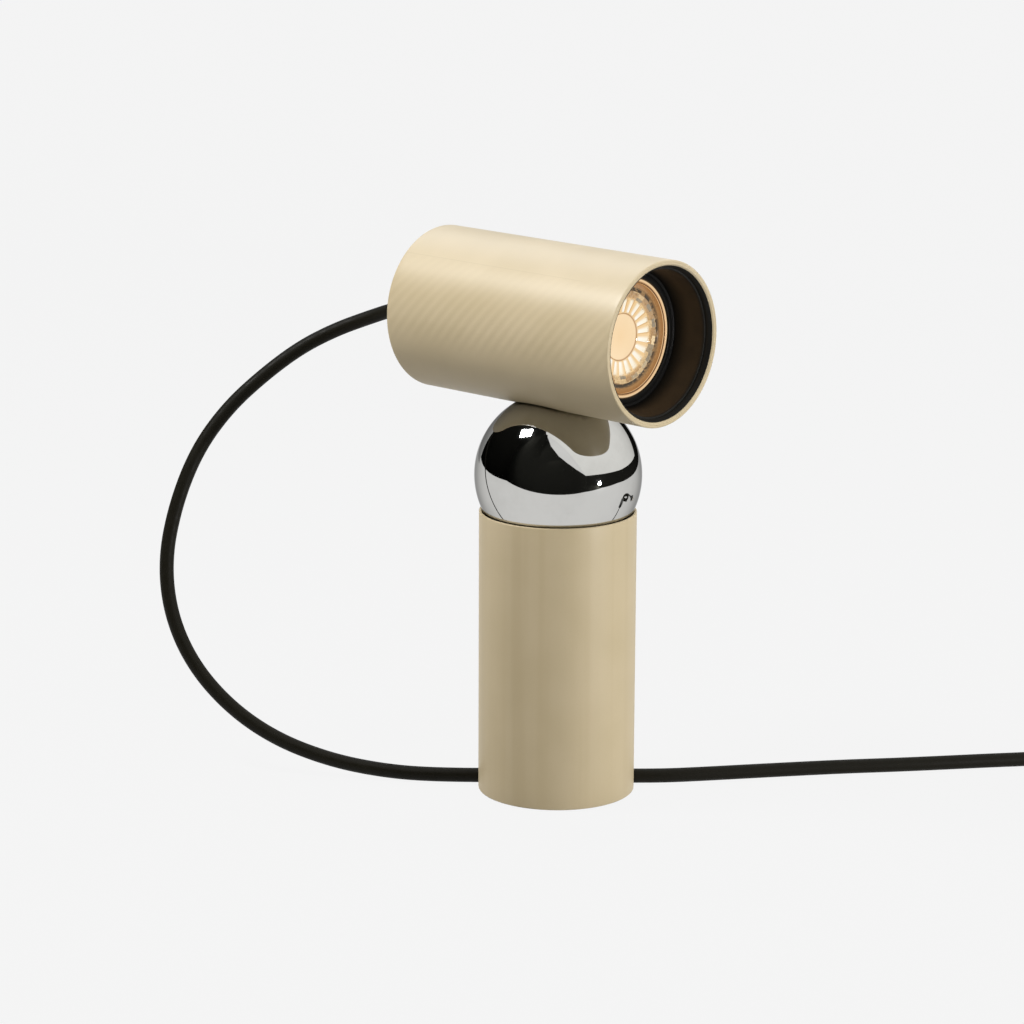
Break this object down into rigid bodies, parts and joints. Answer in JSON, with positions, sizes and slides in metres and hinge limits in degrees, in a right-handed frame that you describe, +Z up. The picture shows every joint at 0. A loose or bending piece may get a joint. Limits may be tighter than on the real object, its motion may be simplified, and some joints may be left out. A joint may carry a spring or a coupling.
{
  "type": "tabletop spot lamp",
  "caption": "Table spot lamp: a tube head with a recessed reflector bulb sits by magnet on a chromed ball in a weighted tube base, with a corded inline switch and plug.",
  "frame": {"origin": "middle of the underside of the base's feet, on the surface that the lamp stands on", "axes": "+Z up along the base tube's axis; at rest the head lies level along Y and shines towards -Y; +X completes the right-handed frame"},
  "size_m": [0.4323, 0.3849, 0.2411],
  "materials": {
    "sand_paint": "satin sand-beige powder coat",
    "chrome": "polished chrome plating",
    "black_liner": "matt black moulding",
    "black_plastic": "satin black moulding",
    "black_cord": "soft black cord sheath",
    "pads": "matt black non-slip rubber",
    "iron": "turned dark iron",
    "magnet": "nickel-plated magnet",
    "steel": "zinc-plated steel",
    "glide": "smooth white low-friction ring",
    "copper_rim": "warm copper-tinted rim",
    "lens": "clear faceted front glass",
    "reflector": "mirrored glass",
    "capsule": "frosted lit capsule",
    "ceramic": "off-white ceramic",
    "brass": "plain brass",
    "wire": "heat-proof white sleeving",
    "tie": "woven black tie"
  },
  "bodies": {
    "base": {"foot_pads": "pads", "ballast": "iron", "base_tube": "sand_paint", "cord_clamp": "steel", "clamp_screws": "steel", "base_lead": "black_cord", "ball_seat": "black_plastic", "base_magnet": "magnet", "magnet_screw": "steel", "head_cord_bottom": "black_cord", "switch_lower": "black_plastic", "switch_upper": "black_plastic", "switch_screws": "steel", "switch_contacts": "brass", "mains_lead": "black_cord", "coil_link": "black_cord", "lead_coil": "black_cord", "coil_tie": "tie", "plug_tail": "black_cord", "plug_relief": "black_plastic", "plug_body": "black_plastic", "pin_sleeves": "black_plastic", "plug_pins": "brass"},
    "glide": {"glide_ring": "glide"},
    "ball": {"ball": "chrome", "head_cord_middle": "black_cord"},
    "head": {"head_tube": "sand_paint", "cradle": "black_plastic", "cradle_screws": "steel", "head_magnet": "magnet", "front_liner": "black_liner", "bulb_retainer": "black_liner", "bulb_rim": "copper_rim", "bulb_lens": "lens", "bulb_reflector": "reflector", "bulb_base": "ceramic", "bulb_capsule": "capsule", "bulb_pins": "steel", "lampholder": "ceramic", "holder_plate": "steel", "holder_screws": "steel", "rear_cap": "sand_paint", "standoffs": "steel", "plate_screws": "steel", "cap_screws": "steel", "strain_relief": "black_plastic", "cord_tail": "black_cord", "terminal_block": "black_plastic", "head_wires": "wire", "head_cord_top": "black_cord"},
    "rocker": {"switch_rocker": "black_plastic"}
  },
  "joints": [
    {"name": "swivel", "type": "hinge", "parent": "base", "child": "glide", "pos_m": [0, 0, 0.14095], "axis": [0, 0, 1], "range_deg": [-90, 90], "deforming": ["head_cord_bottom"]},
    {"name": "lean", "type": "hinge", "parent": "glide", "child": "ball", "pos_m": [0, 0, 0.14095], "axis": [0, 1, 0], "range_deg": [-20, 20], "deforming": ["head_cord_middle"]},
    {"name": "tilt", "type": "hinge", "parent": "ball", "child": "head", "pos_m": [0, 0, 0.14095], "axis": [1, 0, 0], "range_deg": [-60, 60], "deforming": ["head_cord_top"]},
    {"name": "rocker", "type": "hinge", "parent": "base", "child": "rocker", "pos_m": [0.20936, -0.16748, 0.015], "axis": [0.627, 0.779, 0], "range_deg": [0, 14]}
  ]
}
